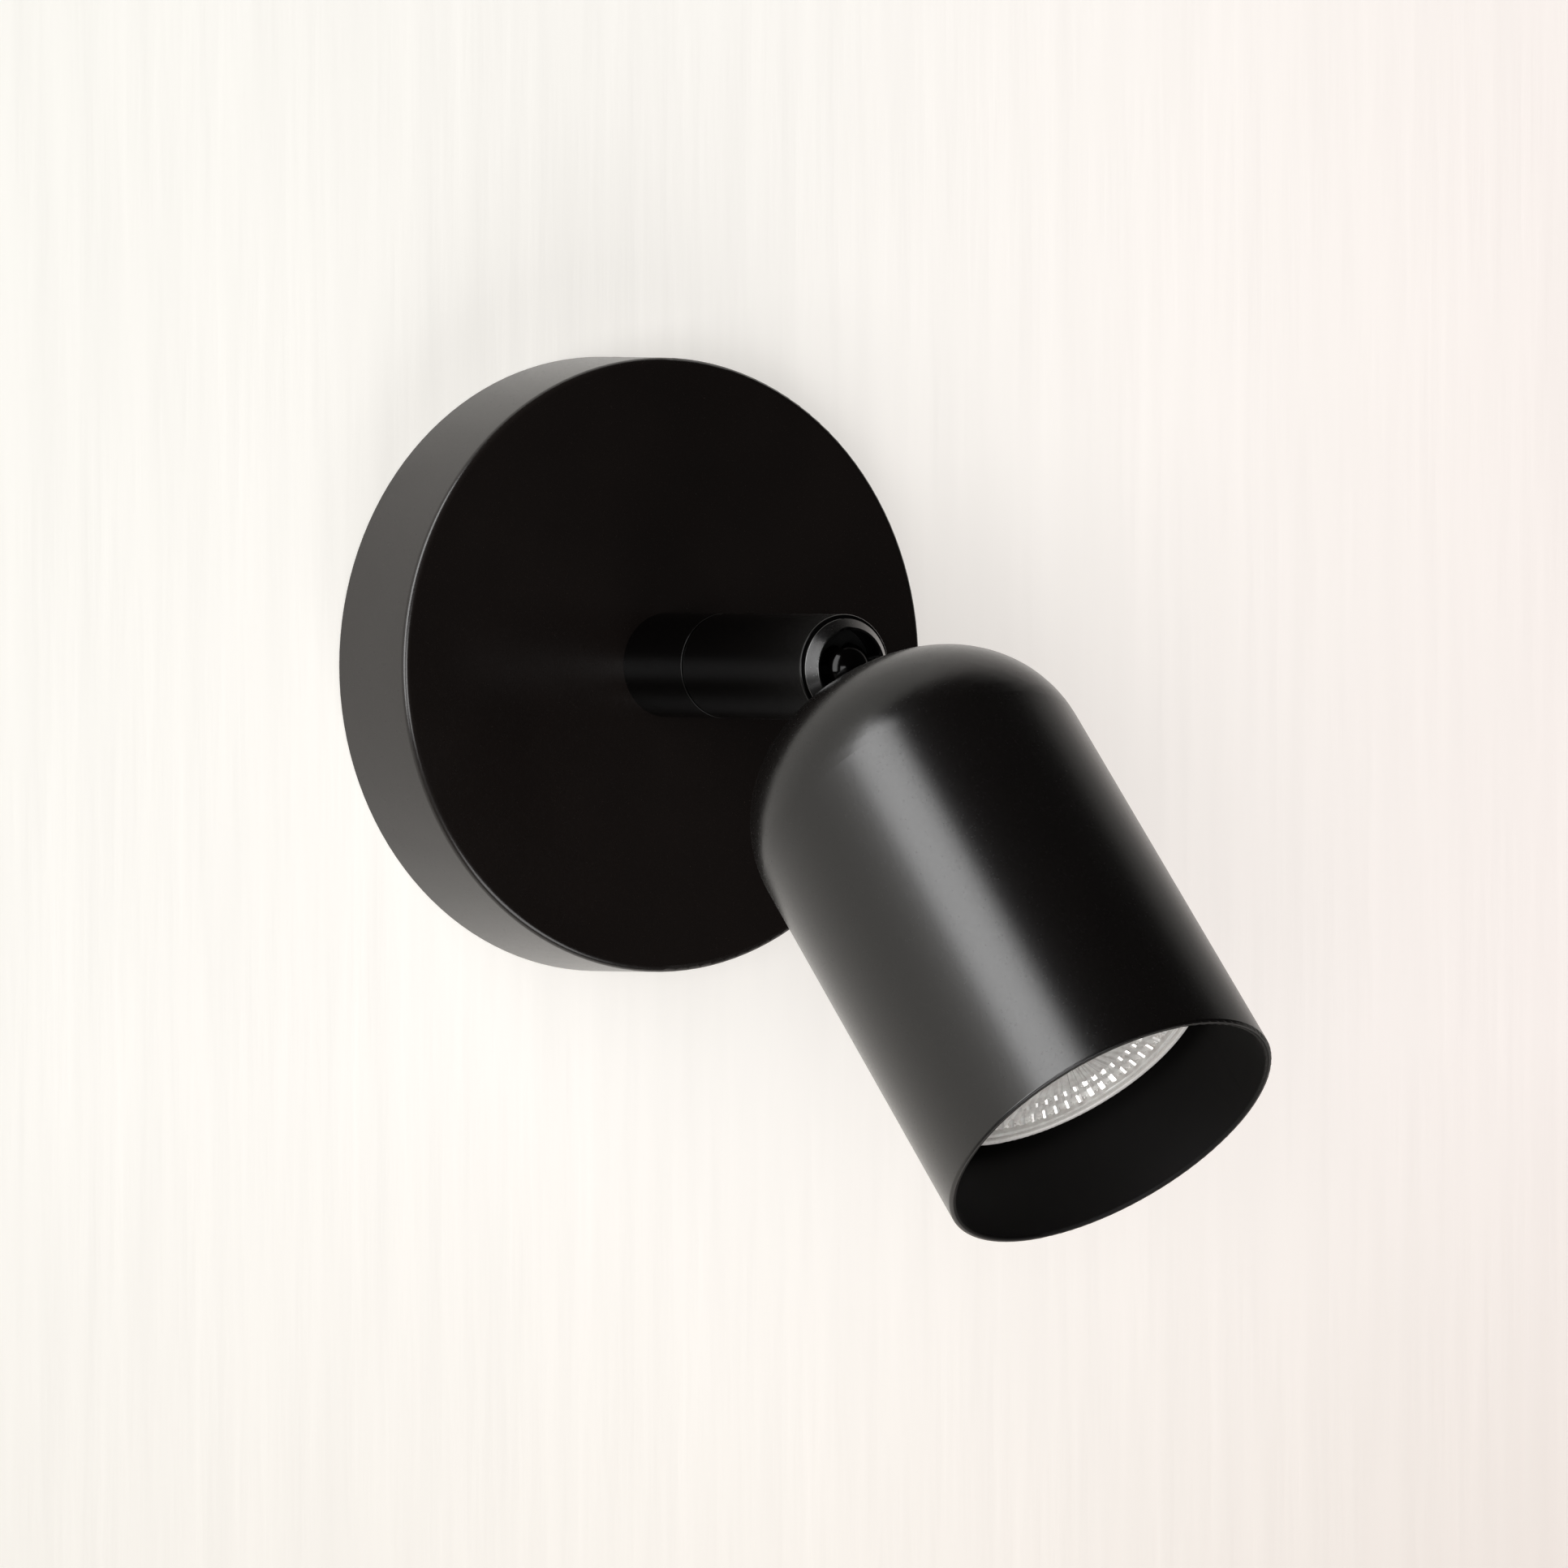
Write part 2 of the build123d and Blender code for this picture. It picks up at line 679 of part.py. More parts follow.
def lead_slot():
    """Fan-shaped slot behind the pivot, which clears the bundle over the whole tilt."""
    half, reach = slot_half_width, 2 * ball_radius
    spread = radians(tilt_limit)
    fan = make_face(Polyline((0, 0), (reach * sin(spread), -reach * cos(spread)), (0, -reach),
                             (-reach * sin(spread), -reach * cos(spread)), close=True))
    slot = Rot(0, 0, 90) * Rot(90, 0, 0) * extrude(fan, half, both=True)
    for side in (-1, 1):
        slot += Rot(side * tilt_limit, 0, 0) * block_between(-half, half, -half, half, -reach, 0)
    return slot + Rot(0, 90, 0) * rod(half, -half, half)


def shade():
    outer, inner = shade_radius, shade_radius - shade_wall
    hole, rim = shank_thread_radius + hole_play, shade_rim
    shoulder = shade_shoulder_radius
    corners = [
        (hole, shade_top), (outer, shade_top), (outer, rim), (inner, rim),
        (inner, dome_inside), (hole, dome_inside),
    ]
    rounds = {1: shoulder, 2: shade_rim_round, 3: shade_rim_round, 4: shoulder - shade_wall}
    return turned(corners, rounds)


def shade_washer():
    return ring(shade_washer_radius, shank_thread_radius + hole_play, dome_inside, strap_low)


def lampholder_strap():
    """Hat-shaped strap: a plate under the nut, two legs and two feet."""
    thick, half = strap_thickness, strap_width / 2
    inside, outside = strap_leg_inside, strap_leg_inside + strap_thickness
    strap = block_between(-outside, outside, -half, half, strap_low, strap_high)
    for side in (-1, 1):
        low, high = sorted((side * inside, side * outside))
        strap += block_between(low, high, -half, half, strap_low, holder_back_low)
        low, high = sorted((side * inside, side * holder_radius))
        strap += block_between(low, high, -half, half, holder_back_low - thick, holder_back_low)
        hole = rod(small_screw_radius + hole_play, holder_back_low - 2 * thick, holder_back_low + 1)
        strap -= Pos(side * holder_screw_offset, 0, 0) * hole
    return strap - rod(shank_thread_radius + hole_play, 0, strap_high + 1)


def shank_earth_tag():
    hole = shank_thread_radius + hole_play
    return ring_tag(hole, strap_high, shank_tag_thickness, tag_ear_length + tag_ring_width)


def shank_washer():
    inner = shank_thread_radius + hole_play
    return toothed_washer(shank_washer_radius, inner, shank_tag_high, shank_washer_high, 10)


def shank_nut():
    bore = shank_thread_radius + thread_play
    return hex_nut(shank_nut_across_flats, bore, shank_washer_high, shank_nut_high)


def pin_places():
    return [(0, lamp_pin_pitch / 2), (180, lamp_pin_pitch / 2)]


def pin_path(half_width, low, high):
    """Room that a pin sweeps while the lamp twists, for both pins."""
    arc = CenterArc((0, 0), lamp_pin_pitch / 2, 0, lamp_twist)
    slot = Pos(0, 0, low) * extrude(SlotArc(arc, 2 * half_width), high - low)
    return [Rot(0, 0, start) * slot for start, _ in pin_places()]


def lampholder():
    wide, small, large = holder_radius, holder_rear_round, holder_front_round
    corners = [(0, holder_low), (wide, holder_low), (wide, holder_high), (0, holder_high)]
    body = turned(corners, {1: small, 2: large})
    plate_low = holder_high - holder_front_plate
    for cut in pin_path(lamp_pin_head_radius + head_slot_play, holder_low, plate_low):
        body -= cut
    for cut in pin_path(lamp_pin_neck_radius + neck_slot_play, plate_low, holder_high):
        body -= cut
    for start, circle in pin_places():
        entry = rod(lamp_pin_head_radius + head_slot_play, plate_low, holder_high)
        body -= Rot(0, 0, start + lamp_twist) * Pos(circle, 0, 0) * entry
    for side in (-1, 1):
        seat = holder_high - holder_screw_recess
        hole = rod(small_screw_radius + hole_play, holder_low, holder_high)
        body -= Pos(side * holder_screw_offset, 0, 0) * hole
        body -= Pos(side * holder_screw_offset, 0, 0) * rod(holder_counterbore_radius, seat, holder_high)
    return body


def lampholder_back():
    plate = rod(holder_radius, holder_back_low, holder_low)
    for side in (-1, 1):
        hole = rod(small_screw_radius + hole_play, holder_back_low, holder_low)
        plate -= Pos(side * holder_screw_offset, 0, 0) * hole
        way = rod(holder_lead_hole_radius, holder_back_low, holder_low)
        plate -= Pos(side * lamp_pin_pitch / 2, 0, 0) * way
    return plate


def lampholder_contacts():
    return pin_path(lamp_pin_head_radius + head_slot_play - holder_contact_play, holder_low, contact_high)


def lampholder_screws():
    seat = holder_high - holder_screw_recess
    tip = holder_back_low - strap_thickness - small_nut_height - small_screw_end
    pin = screw(small_screw_radius, small_head_radius, tip, seat, seat + small_head_height)
    return [Pos(side * holder_screw_offset, 0, 0) * pin for side in (-1, 1)]


def lampholder_nuts():
    high = holder_back_low - strap_thickness
    nut = hex_nut(small_nut_across_flats, small_screw_radius + thread_play, high - small_nut_height, high)
    return [Pos(side * holder_screw_offset, 0, 0) * Rot(0, 0, 30) * nut for side in (-1, 1)]


def head_leads():
    """Two leads to the contacts, and the earth lead over the nut to its tag."""
    low, end = lead_pivot_gap, holder_low
    offset = lamp_pin_pitch / 2
    fan, meet = shank_high + 1.5, holder_back_low + 0.5
    live, neutral, earth = bundle(2), bundle(1), bundle(0)
    over, ear = shank_high + 3.0, tag_ear_length
    return [
        lead([(*live, low), (*live, fan), (offset, 0, meet), (offset, 0, end)], head_lead_bend),
        lead([(*neutral, low), (*neutral, fan), (-offset, 0, meet), (-offset, 0, end)],
             head_lead_bend),
        lead([(*earth, low), (*earth, over), (earth[0], ear, over), (earth[0], ear, shank_tag_high)],
             head_earth_bend),
    ]


# ---- pieces of the lamp, from its base up -----------------------------------------------------
def lamp_base():
    low, high, wide = lamp_base_radius, lamp_base_height, lamp_base_radius + lamp_base_flare
    corners = [
        (0, 0), (low, 0), (wide, high), (wide - lamp_base_wall, high),
        (low - lamp_base_wall, lamp_base_floor), (0, lamp_base_floor),
    ]
    cup = turned(corners, {1: 0.8})
    for start, circle in pin_places():
        hole = rod(lamp_pin_neck_radius + thread_play, -1, lamp_base_floor + 1)
        cup -= Rot(0, 0, start) * Pos(circle, 0, 0) * hole
    return cup


def lamp_pins():
    neck, wide, length = lamp_pin_neck_radius, lamp_pin_head_radius, lamp_pin_length
    corners = [
        (0, lamp_base_floor), (neck, lamp_base_floor), (neck, lamp_pin_head_height - length),
        (wide, lamp_pin_head_height - length), (wide, -length), (0, -length),
    ]
    pin = turned(corners, {3: 0.4, 4: 0.4})
    return [Rot(0, 0, start) * Pos(circle, 0, 0) * pin for start, circle in pin_places()]


def body_outer_radius(height):
    top, rise = lamp_radius - lamp_body_inset, lamp_body_top - 1 - lamp_base_height
    return lamp_neck_radius + (top - lamp_neck_radius) * (height - lamp_base_height) / rise


def lamp_body():
    """Cone-shaped housing with a floor ring and a shelf for the board."""
    wall, low, top = lamp_body_wall, lamp_base_height, lamp_radius - lamp_body_inset
    shelf, under = lamp_shelf_height, lamp_shelf_height - wall
    shelf_radius = body_outer_radius(shelf) - wall - lamp_shelf_width
    floor_radius = lamp_base_radius + lamp_base_flare - lamp_base_wall
    corners = [
        (floor_radius, low), (lamp_neck_radius, low), (top, lamp_body_top - 1), (top, lamp_body_top),
        (top - wall, lamp_body_top), (top - wall, lamp_body_top - 1),
        (body_outer_radius(shelf) - wall, shelf), (shelf_radius, shelf), (shelf_radius, under),
        (body_outer_radius(under) - wall, under), (body_outer_radius(low + wall) - wall, low + wall),
        (floor_radius, low + wall),
    ]
    return turned(corners)


def board_radius():
    return body_outer_radius(lamp_shelf_height) - lamp_body_wall - board_edge_gap


def lamp_led_board():
    return rod(board_radius(), lamp_shelf_height, lamp_shelf_height + board_thickness)


def led_places():
    step, out = 360 / led_ring_count, Pos(led_ring_radius, 0, 0)
    return [Pos(0, 0, 0)] + [Rot(0, 0, step * i) * out for i in range(led_ring_count)]


def lamp_leds():
    low, half = lamp_shelf_height + board_thickness, led_size / 2
    chip = block_between(-half, half, -half, half, low, low + led_height)
    return [place * chip for place in led_places()]


def lamp_lens():
    """Clear plate with a skirt on the body's edge and a cone over each chip."""
    front = lamp_length - lens_front_setback
    radius, rear = lamp_radius - bezel_width - hole_play, front - lens_plate
    lens = rod(radius, rear, front)
    lens += ring(radius, radius - 1, lamp_body_top, rear)
    cone_low = lamp_shelf_height + board_thickness + led_height + lens_cone_gap
    small, large = lens_cone_base_radius, lens_cone_top_radius
    cone = turned([(0, cone_low), (small, cone_low), (large, rear), (0, rear)])
    for place in led_places():
        lens += place * cone
    return lens


def lamp_bezel():
    outer, inner, low, high = lamp_radius, lamp_radius - bezel_width, lamp_body_top, lamp_length
    corners = [(inner, low), (outer, low), (outer, high), (inner, high)]
    return turned(corners, {2: bezel_round, 3: bezel_round / 2})


def lamp_driver():
    """Small power board standing on the base's floor, with two parts on it."""
    half, low, thick = driver_half_width, lamp_base_floor, board_thickness
    board = block_between(-half, half, -thick / 2, thick / 2, low, driver_top)
    foot = low + driver_part_rise
    top, side = foot + driver_can_height, driver_choke_half_width
    can = Pos(0, thick / 2 + driver_can_radius, 0) * rod(driver_can_radius, foot, top)
    choke = block_between(-side, side, -thick / 2 - driver_choke_depth, -thick / 2, foot, top)
    bridge = block_between(-side / 2, side / 2, 0, thick / 2 + driver_can_radius / 4, foot, top)
    return board + can + choke + bridge


# ---- the nodes, by body -----------------------------------------------------------------------
nodes = [
    (wall, canopy), (wall, wall_bracket), (wall, canopy_screws), (wall, terminal_block),
    (wall, terminal_sleeves), (wall, terminal_screws), (wall, terminal_block_screw), (wall, earth_tag),
    (wall, earth_screw), (wall, arm_nipple), (wall, nipple_nut), (wall, nipple_washer), (wall, cable_bush),
    (wall, arm_foot), (wall, swivel_core), (wall, swivel_washer), (wall, swivel_stop_pin),
    (wall, swivel_spring_washer), (wall, swivel_clip), (wall, canopy_leads), (wall, earth_lead),
    (arm, arm_tube), (arm, joint_cup), (arm, spring_seat), (arm, disc_springs), (arm, pressure_shoe),
    (arm, pivot_pins), (arm, arm_leads),
    (head, tilt_knuckle), (head, shade), (head, shade_washer), (head, lampholder_strap),
    (head, shank_earth_tag), (head, shank_washer), (head, shank_nut), (head, lampholder),
    (head, lampholder_back), (head, lampholder_contacts), (head, lampholder_screws),
    (head, lampholder_nuts), (head, head_leads),
    (lamp, lamp_base), (lamp, lamp_pins), (lamp, lamp_body), (lamp, lamp_driver), (lamp, lamp_led_board),
    (lamp, lamp_leds), (lamp, lamp_lens), (lamp, lamp_bezel),
]

os.makedirs("parts", exist_ok=True)
for frame, piece in nodes:
    made = piece()
    solids = []
    for item in made if isinstance(made, list) else [made]:
        solids.extend((frame * item).solids())
    shape = solids[0] if len(solids) == 1 else Compound(solids)
    export_step(shape, f"parts/{piece.__name__}.step")
    print(piece.__name__, len(solids), "solids", round(sum(s.volume for s in solids), 1), "mm3")
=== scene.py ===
import json
import math

import bmesh
import bpy
from mathutils import Matrix, Vector


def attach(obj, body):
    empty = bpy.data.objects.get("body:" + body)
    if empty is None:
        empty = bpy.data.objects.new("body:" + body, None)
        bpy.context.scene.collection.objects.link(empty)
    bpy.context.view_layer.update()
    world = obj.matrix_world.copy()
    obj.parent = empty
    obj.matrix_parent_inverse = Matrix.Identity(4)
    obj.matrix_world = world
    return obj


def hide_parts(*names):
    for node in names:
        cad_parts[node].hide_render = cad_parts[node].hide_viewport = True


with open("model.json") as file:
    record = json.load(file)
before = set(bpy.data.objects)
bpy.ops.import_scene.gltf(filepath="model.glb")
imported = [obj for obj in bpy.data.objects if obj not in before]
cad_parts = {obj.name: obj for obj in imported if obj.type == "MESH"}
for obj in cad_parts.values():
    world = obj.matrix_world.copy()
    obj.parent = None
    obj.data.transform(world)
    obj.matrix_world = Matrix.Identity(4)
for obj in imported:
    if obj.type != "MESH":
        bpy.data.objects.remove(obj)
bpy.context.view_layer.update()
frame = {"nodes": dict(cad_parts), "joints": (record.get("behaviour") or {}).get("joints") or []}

# Looks of the pivoting spotlight wall light, around its solids. Metres, in the solids' own frame:
# the wall is the plane y = 0, the light stands out of it towards -y, and z is up.

bl_info = {
    "name": "Pivoting spotlight wall light",
    "version": (1, 0, 0),
    "blender": (4, 5, 0),
    "location": "3D Viewport > Sidebar > Wall light",
    "description": "Dresses the solids of a pivoting spotlight wall light and sets its studio",
    "category": "Object",
}

MM = 0.001
RIGHT = Vector((1, 0, 0))
UP = Vector((0, 0, 1))

# ---- lens -------------------------------------------------------------------------------------
lens_steps = 144                # faces round its edge
lens_recess_radius = 22.7 * MM  # of the ribbed floor
lens_chamfer = 0.1 * MM
lens_edge_slope = 0.25 * MM     # width of the chamfer on the outer edge
skirt_width = 1.2 * MM
skirt_depth = 0.9 * MM
rib_bands = (                   # inner and outer radius in millimetres, share of the ribs
    (21.9, 22.5, 1.0), (18.1, 20.1, 0.8), (10.8, 16.8, 0.6), (5.0, 10.4, 0.4),
)
rib_fill = 0.85                 # share of a band's outer edge that its ribs take up
rib_ridge = 0.12                # half the width of a rib's ridge, as a share of the rib's width
rib_root = 0.2 * MM             # foot of a rib below the floor
prism_bands = ((20.4, 21.6), (17.1, 17.8))
prism_width = 0.8 * MM
prism_root = 0.1 * MM           # foot of a prism below the floor
prism_step = 0.12 * MM          # lowest edge of a prism's top over its foot
prism_ridge = 0.07              # rise of a prism's ridge, as a share of its width

# ---- coats ------------------------------------------------------------------------------------
canopy_painted_light = (0.0015, 0.0008, 0.0005)    # added to the coat's colour on the canopy: painted light, which makes its face lighter and warmer
shade_painted_shade = 0.5               # of the coat's colour, outside on the shade: painted shade, the same coat made darker there
inside_painted_shade = 0.5              # and inside, where the coat is duller: the same painted shade
lacquer_share = 0.12            # of the coat's colour, on the arm, the joint and the canopy's screws
satin_specular = 0.5
inside_specular = 0.22
inside_roughness = 0.6
shade_mid_wall = 28.0 * MM      # radius between the inside and the outside of the shade's tube
inside_start = 12 * MM          # the duller coat begins so far behind the lamp's face

# ---- studio -----------------------------------------------------------------------------------
wall_gap = 0.4 * MM             # wall behind the canopy's back
stage_half_width = 5.0
stage_height = 3.0
stage_depth = 4.0
floor_height = -1.25
cove_size = 0.25
cove_bevel = 0.12
cove_segments = 8
floor_fade = (-1.2, -0.6)       # heights between which the floor's darker paint turns into the wall's
floor_share = 0.3               # of the wall's colour, on the floor
painted_light_right = (                  # painted light: the wall's glow at places to the right of the canopy's middle, weaker on the left
    (-0.165, (0.605, 0.61, 0.565)), (0.0354, (0.8, 0.78, 0.74)),
    (0.2346, (0.785, 0.7, 0.67)), (1.035, (1.0, 0.95, 0.9)),
)
painted_shade_down = (                   # and what it is multiplied by at places below it: painted shade, darkest 0.18 m below
    (-0.146, (1.0, 1.0, 1.0)), (0.0685, (0.97, 0.95, 0.955)),
    (0.184, (0.72, 0.67, 0.63)), (0.514, (1.0, 0.98, 0.95)),
)
painted_reflection_fade = ((0.075, 1.0), (0.375, 0.1))  # painted reflection: share of the glow that gloss shows, less to the right
world_colour = (1.0, 0.98, 0.95, 1)
light_target = Vector((0, -0.07, -0.02))    # the three soft lights face it
camera_azimuth = -33.55         # degrees, as the lights' are
camera_elevation = 1.25
camera_distance = 1.6
camera_target = Vector((-2.40, -58.91, -19.13)) * MM
camera_lens = 224.6             # millimetres, as the sensor's width is
camera_sensor = 36

# ---- places, from the solids ------------------------------------------------------------------
joints = {joint["name"]: joint for joint in frame["joints"]}
pivot = Vector(joints["head_tilt"]["pos_m"])
tilt_axis = Vector(joints["head_tilt"]["axis"]).normalized()
shade_axis = Vector(joints["lamp_twist"]["axis"]).normalized()


def upright(origin, axis, side):
    """Matrix of a place whose z runs along axis and whose x runs along side."""
    side = (side - side.dot(axis) * axis).normalized()
    across = axis.cross(side)
    turn = Matrix((side, across, axis)).transposed().to_4x4()
    return Matrix.Translation(origin) @ turn


def reach(node, origin, axis):
    """Lowest and highest place of a node along an axis."""
    along = [(vertex.co - origin).dot(axis) for vertex in frame["nodes"][node].data.vertices]
    return min(along), max(along)


lens_low, lens_high = reach("lamp_lens", pivot, shade_axis)
face_high = reach("lamp_bezel", pivot, shade_axis)[1]


# ---- sizes and colours that a user would change -----------------------------------------------
class LensSettings(bpy.types.PropertyGroup):
    radius: bpy.props.FloatProperty(
        name="Radius", description="Outer radius of the lens plate", default=23.7 * MM, unit="LENGTH")
    plate: bpy.props.FloatProperty(
        name="Plate", description="Thickness of the lens plate", default=3.3 * MM, unit="LENGTH")
    rib_count: bpy.props.IntProperty(
        name="Ribs", description="Radial ribs round the outer ring", default=120, min=24, max=240)
    rib_height: bpy.props.FloatProperty(
        name="Rib height", description="Height of a rib over its floor", default=0.3 * MM, unit="LENGTH")
    depth: bpy.props.FloatProperty(
        name="Depth", description="Ribbed floor below the lens's rim", default=1.0 * MM, unit="LENGTH")
    prism_count: bpy.props.IntProperty(
        name="Prisms", description="Prisms in each ring", default=64, min=12, max=120)
    prism_slope: bpy.props.FloatProperty(
        name="Prism slope", description="Slope of a prism's top, toward the middle",
        default=math.radians(34), subtype="ANGLE")
    tint: bpy.props.FloatVectorProperty(
        name="Tint", description="Colour of the lens", default=(0.94, 0.885, 0.85), size=3,
        subtype="COLOR", min=0, max=1)


class PaintSettings(bpy.types.PropertyGroup):
    colour: bpy.props.FloatVectorProperty(
        name="Colour", description="Colour of the powder coat", default=(0.0052, 0.0041, 0.0038), size=3,
        subtype="COLOR", min=0, max=1)
    roughness: bpy.props.FloatProperty(
        name="Roughness", description="Roughness of the powder coat", default=0.25, min=0, max=1)
    grain: bpy.props.FloatProperty(
        name="Grain", description="Size of the coat's grain", default=0.45 * MM, unit="LENGTH")


class StudioSettings(bpy.types.PropertyGroup):
    window_power: bpy.props.FloatProperty(
        name="Window", description="Power of the tall soft light on the left", default=80.0, unit="POWER")
    fill_power: bpy.props.FloatProperty(
        name="Fill", description="Power of the soft light on the front left", default=21.0, unit="POWER")
    low_power: bpy.props.FloatProperty(
        name="Low fill", description="Power of the light that comes up from the floor", default=6.0,
        unit="POWER")
    world: bpy.props.FloatProperty(
        name="World", description="Strength of the light from all round", default=0.03, min=0, max=1)
    wall_colour: bpy.props.FloatVectorProperty(
        name="Wall", description="Colour of the painted wall", default=(0.64, 0.62, 0.59), size=3,
        subtype="COLOR", min=0, max=1)
    wall_glow: bpy.props.FloatProperty(
        name="Wall glow", description="Light that the wall adds to its own picture", default=0.68,
        min=0, max=1)


# ---- materials --------------------------------------------------------------------------------
def tinted(colour, share):
    """A colour made lighter or darker by a share."""
    return tuple(min(1.0, channel * share) for channel in colour)


class Shader:
    """A material's node tree, with the few kinds of node that these finishes use."""

    def __init__(self, name):
        self.material = bpy.data.materials.new(name)
        self.material.use_nodes = True
        self.tree = self.material.node_tree
        self.tree.nodes.clear()
        self.output = self.tree.nodes.new("ShaderNodeOutputMaterial")
        self.surface = self.tree.nodes.new("ShaderNodeBsdfPrincipled")
        self.feed(self.surface.outputs[0], self.output.inputs["Surface"])
        self.place = self.tree.nodes.new("ShaderNodeTexCoord").outputs["Object"]

    def feed(self, source, target):
        """Gives an input what comes out of another node, or a fixed value."""
        if isinstance(source, bpy.types.NodeSocket):
            self.tree.links.new(source, target)
        else:
            target.default_value = source

    def set(self, **values):
        """Sets the surface's own inputs, with _ for a space in their names."""
        for name, value in values.items():
            self.feed(value, self.surface.inputs[name.replace("_", " ")])

    def noise(self, size, detail=2.0, stretch=(1, 1, 1)):
        """Noise of a feature size in metres, stretched along an axis."""
        mapping = self.tree.nodes.new("ShaderNodeMapping")
        mapping.inputs["Scale"].default_value = stretch
        self.feed(self.place, mapping.inputs["Vector"])
        texture = self.tree.nodes.new("ShaderNodeTexNoise")
        texture.inputs["Scale"].default_value = 1 / size
        texture.inputs["Detail"].default_value = detail
        self.feed(mapping.outputs[0], texture.inputs["Vector"])
        return texture.outputs["Fac"]

    def worked_out(self, kind, operation, values):
        """Node of a sum on sockets or fixed values."""
        node = self.tree.nodes.new(kind)
        node.operation = operation
        for source, target in zip(values, node.inputs):
            self.feed(source, target)
        return node

    def maths(self, operation, *values):
        """Result of a sum on numbers."""
        return self.worked_out("ShaderNodeMath", operation, values).outputs[0]

    def vector_maths(self, operation, *values):
        """Result of a sum on vectors."""
        node = self.worked_out("ShaderNodeVectorMath", operation, values)
        return node.outputs["Value" if operation in ("DOT_PRODUCT", "LENGTH") else "Vector"]

    def along(self, axis):
        """Place along an axis through the origin."""
        return self.vector_maths("DOT_PRODUCT", self.place, axis)

    def tube(self, origin, axis, radius, start):
        """1 inside a tube round an axis, beyond a start along it; else 0."""
        away = self.vector_maths("SUBTRACT", self.place, origin)
        off = self.vector_maths("LENGTH", self.vector_maths("CROSS_PRODUCT", away, axis))
        along = self.vector_maths("DOT_PRODUCT", away, axis)
        return self.maths("MULTIPLY", self.maths("LESS_THAN", off, radius),
                          self.maths("GREATER_THAN", along, start))

    def spread(self, source, low, high):
        """0 to 1 as a socket's value goes from low to high."""
        node = self.tree.nodes.new("ShaderNodeMapRange")
        node.inputs["From Min"].default_value = low
        node.inputs["From Max"].default_value = high
        self.feed(source, node.inputs["Value"])
        return node.outputs[0]

    def mixed(self, share, first, second):
        """Colour between two: the first at 0, the second at 1."""
        node = self.tree.nodes.new("ShaderNodeMix")
        node.data_type = "RGBA"
        sockets = [socket for socket in node.inputs if socket.type == "RGBA"]
        self.feed(share, node.inputs[0])
        for source, target in zip((first, second), sockets):
            self.feed((*source, 1) if isinstance(source, tuple) else source, target)
        return next(socket for socket in node.outputs if socket.type == "RGBA")

    def ramp(self, source, *stops):
        """Colour ramp from (position, colour or grey) stops."""
        node = self.tree.nodes.new("ShaderNodeValToRGB")
        elements = node.color_ramp.elements
        while len(elements) < len(stops):
            elements.new(0.5)
        for element, (position, colour) in zip(elements, stops):
            element.position = position
            grey = (colour,) * 3 if isinstance(colour, (int, float)) else tuple(colour)
            element.color = (*grey, 1)
        self.feed(source, node.inputs["Fac"])
        return node.outputs["Color"]

    def between(self, source, low, high, edge=0.3):
        """Colour or grey that goes from low to high as a noise goes through its middle."""
        return self.ramp(source, (edge, low), (1 - edge, high))

    def gradient(self, axis, *stops):
        """Colour ramp along an axis, from (place in metres, colour or grey) stops."""
        first, last = stops[0][0], stops[-1][0]
        share = self.spread(self.along(axis), first, last)
        return self.ramp(share, *(((place - first) / (last - first), colour) for place, colour in stops))

    def bump(self, source, height, strength):
        """Bump of a height in metres; several are chained."""
        node = self.tree.nodes.new("ShaderNodeBump")
        node.inputs["Strength"].default_value = strength
        node.inputs["Distance"].default_value = height
        self.feed(source, node.inputs["Height"])
        normal = self.surface.inputs["Normal"]
        if normal.links:
            self.feed(normal.links[0].from_socket, node.inputs["Normal"])
        self.feed(node.outputs[0], normal)

    def tone(self, source, colour, dark, light):
        """Surface colour that wanders between two shares of a colour."""
        self.set(Base_Color=self.between(source, tinted(colour, dark), tinted(colour, light)))

    def gloss(self, source, roughness, less, more, edge=0.3):
        """Roughness that wanders from less than a value to more."""
        self.set(Roughness=self.between(source, roughness - less, roughness + more, edge))


def powder_coat(name, colour, roughness, grain, depth=0.5, specular=satin_specular):
    """Satin powder coat: a fine grain, soft waves and a slight unevenness of gloss."""
    shader = Shader(name)
    shader.set(IOR=1.5, Specular_IOR_Level=specular)
    shader.tone(shader.noise(18 * MM, detail=3), colour, dark=0.9, light=1.12)
    fine = shader.noise(grain)
    shader.gloss(fine, roughness, less=0.03, more=0.03, edge=0.25)
    shader.bump(fine, height=0.012 * MM * depth, strength=0.3)
    shader.bump(shader.noise(5 * grain, detail=1), height=0.03 * MM * depth, strength=0.2)
    return shader


def flat_inside(shader, colour):
    """Duller, darker coat on the inside of the shade's tube."""
    inside = shader.tube(pivot, shade_axis, shade_mid_wall, face_high - inside_start)
    inputs = shader.surface.inputs
    base = inputs["Base Color"].links[0].from_socket
    rough = inputs["Roughness"].links[0].from_socket
    shader.set(
        Base_Color=shader.mixed(inside, base, tinted(colour, inside_painted_shade)),
        Roughness=shader.mixed(inside, rough, (inside_roughness,) * 3),
        Specular_IOR_Level=shader.maths(
            "MULTIPLY_ADD", inside, inside_specular - satin_specular, satin_specular))
    return shader


def plated(name, colour, roughness):
    """Plated or machined metal: slight clouding and fine tool marks."""
    shader = Shader(name)
    shader.set(Metallic=1.0)
    shader.tone(shader.noise(4 * MM, detail=3), colour, dark=0.88, light=1.1)
    marks = shader.noise(0.5 * MM, stretch=(1, 6, 1))
    shader.gloss(marks, roughness, less=0.06, more=0.08)
    shader.bump(marks, height=0.01 * MM, strength=0.3)
    return shader


